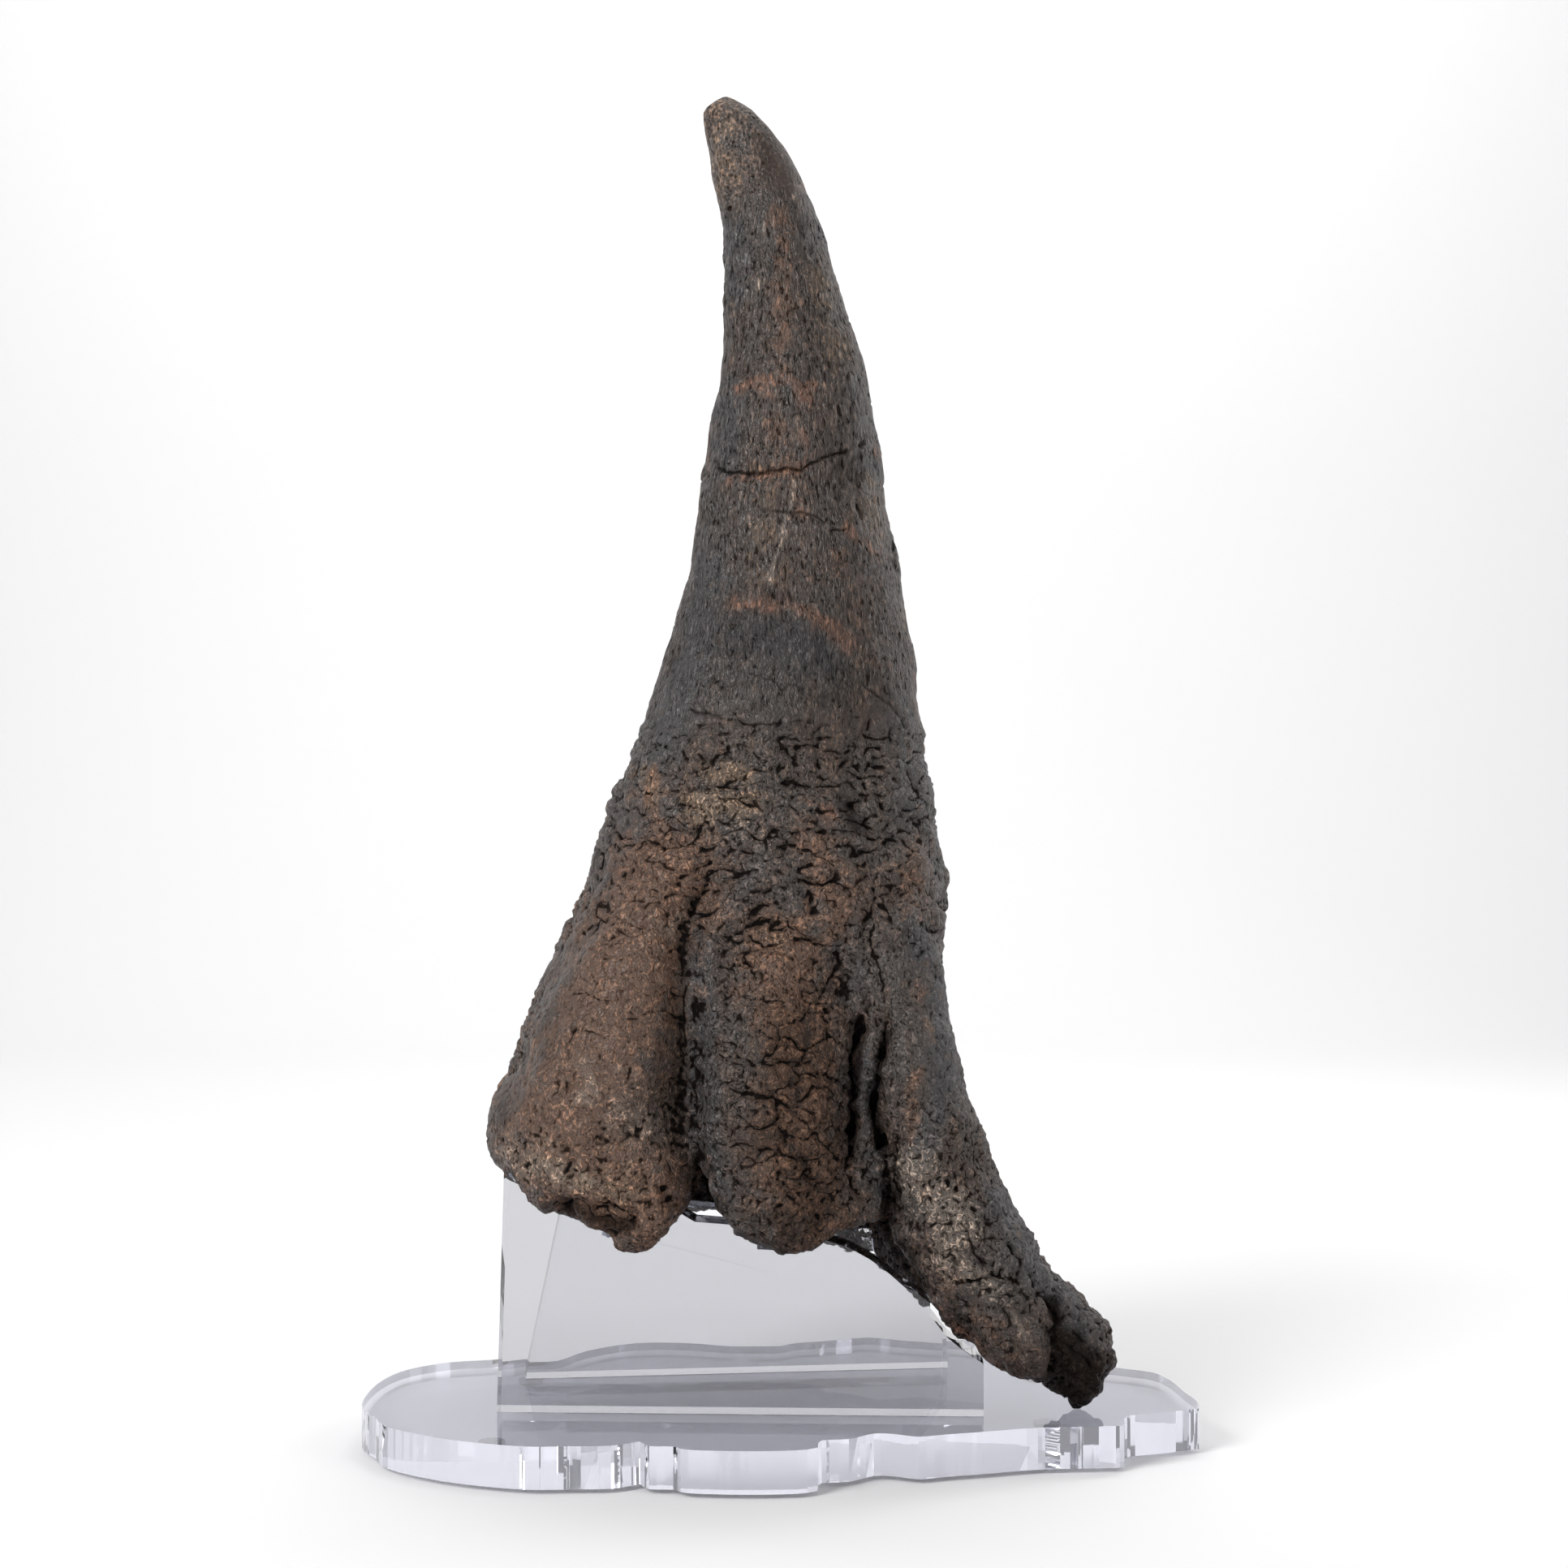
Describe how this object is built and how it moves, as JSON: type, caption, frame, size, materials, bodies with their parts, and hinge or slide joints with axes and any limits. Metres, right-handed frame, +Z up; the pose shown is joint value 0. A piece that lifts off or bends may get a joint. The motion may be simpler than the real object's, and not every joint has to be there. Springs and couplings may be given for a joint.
{
  "type": "fossil triceratops brow horn",
  "caption": "Fossil brow horn core with a lobed, broken base and a side strut, resting on clear acrylic uprights on a wavy-edged clear base plate.",
  "frame": {"origin": "on the surface the stand rests on, under the middle of the outline of the base plate", "axes": "+Z up along the horn, +X to the right seen from the pictured side, towards the strut, +Y away from the pictured side"},
  "size_m": [0.5176, 0.304, 0.8497],
  "materials": {
    "fossil_bone": "satin",
    "clear_acrylic": "polished",
    "clear_bumper": "satin"
  },
  "bodies": {
    "root": {"horn": "fossil_bone", "base_plate": "clear_acrylic", "front_plate": "clear_acrylic", "back_plate": "clear_acrylic", "foot_front_left": "clear_bumper", "foot_front_right": "clear_bumper", "foot_back_left": "clear_bumper", "foot_back_right": "clear_bumper"}
  },
  "joints": []
}
